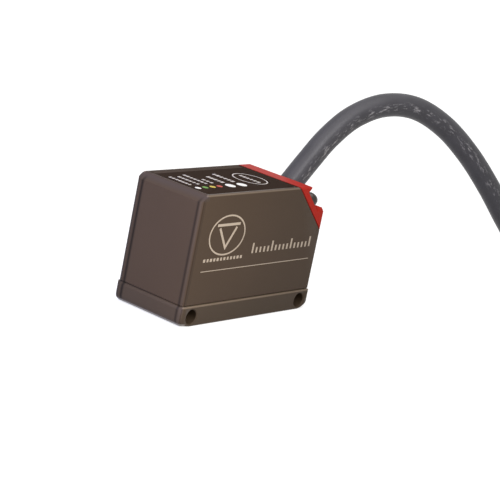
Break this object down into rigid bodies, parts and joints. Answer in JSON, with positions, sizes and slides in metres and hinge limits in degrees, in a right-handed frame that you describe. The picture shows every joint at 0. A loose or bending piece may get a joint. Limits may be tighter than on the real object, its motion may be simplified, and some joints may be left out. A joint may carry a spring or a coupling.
{
  "type": "laser displacement sensor",
  "caption": "Compact box-shaped laser triangulation sensor with a sloped red cable cap, a thick front frame with cross holes, a select key, status lights and a pigtail with a round screw plug.",
  "frame": {"origin": "centre of the front face, which is the flat bottom of the sensor's body", "axes": "+X along the body's length towards the cable slope, +Y across its thickness away from the printed side, +Z from the front face up to the label"},
  "size_m": [0.2577, 0.0423, 0.0496],
  "materials": {
    "housing_paint": "satin anodised or painted die-cast metal, dark warm grey",
    "frame_paint": "satin painted metal, dark warm grey",
    "seal_rubber": "matt black rubber",
    "dark_steel": "blackened steel",
    "bright_steel": "plain steel",
    "window_glass": "filter glass, dark red",
    "lens_glass": "clear glass",
    "carrier_metal": "bare die-cast metal",
    "brass_parts": "machined or gold-plated brass",
    "board_laminate": "green circuit board",
    "flex_film": "amber flexible film",
    "black_plastic": "moulded black plastic",
    "pale_plastic": "moulded pale plastic",
    "light_plastic": "milky clear plastic",
    "label_film": "satin printed film, dark brown grey",
    "red_plastic": "satin moulded plastic, red",
    "lead_insulation": "wire insulation",
    "cable_jacket": "satin dark grey cable jacket",
    "plug_plastic": "overmoulded black plastic",
    "nickel": "nickel-plated brass"
  },
  "bodies": {
    "sensor": {"housing": "housing_paint", "front_frame": "frame_paint", "frame_gasket": "seal_rubber", "frame_screws": "dark_steel", "laser_window": "window_glass", "receiver_window": "window_glass", "optics_carrier": "carrier_metal", "carrier_screws": "dark_steel", "laser_holder": "brass_parts", "laser_diode": "brass_parts", "collimator_lens": "lens_glass", "laser_board": "board_laminate", "lens_barrel": "black_plastic", "receiver_lens": "lens_glass", "sensor_board": "board_laminate", "image_sensor": "black_plastic", "sensor_flex": "flex_film", "main_board": "board_laminate", "board_screws": "bright_steel", "signal_processor": "black_plastic", "small_chips": "black_plastic", "board_connector": "pale_plastic", "key_board": "board_laminate", "key_board_screws": "bright_steel", "status_leds": "pale_plastic", "light_guides": "light_plastic", "switch_body": "black_plastic", "label_film": "label_film", "cable_cap": "red_plastic", "cap_gasket": "seal_rubber", "cap_screws": "dark_steel", "cable_gland": "seal_rubber", "cable_leads": "lead_insulation", "cable": "cable_jacket", "plug_body": "plug_plastic", "plug_insert": "black_plastic", "contact_pins": "brass_parts"},
    "key": {"select_key": "label_film", "switch_plunger": "pale_plastic"},
    "ring": {"coupling_ring": "nickel", "plug_seal": "seal_rubber"}
  },
  "joints": [
    {"name": "key_press", "type": "slide", "parent": "sensor", "child": "key", "axis": [0, 0, -1], "range_m": [0, 0.0003], "stiffness_N_per_m": 5000},
    {"name": "ring_turn", "type": "hinge", "parent": "sensor", "child": "ring", "pos_m": [0.2223, -0.025, 0.0073], "axis": [1, 0, 0], "continuous": true}
  ]
}
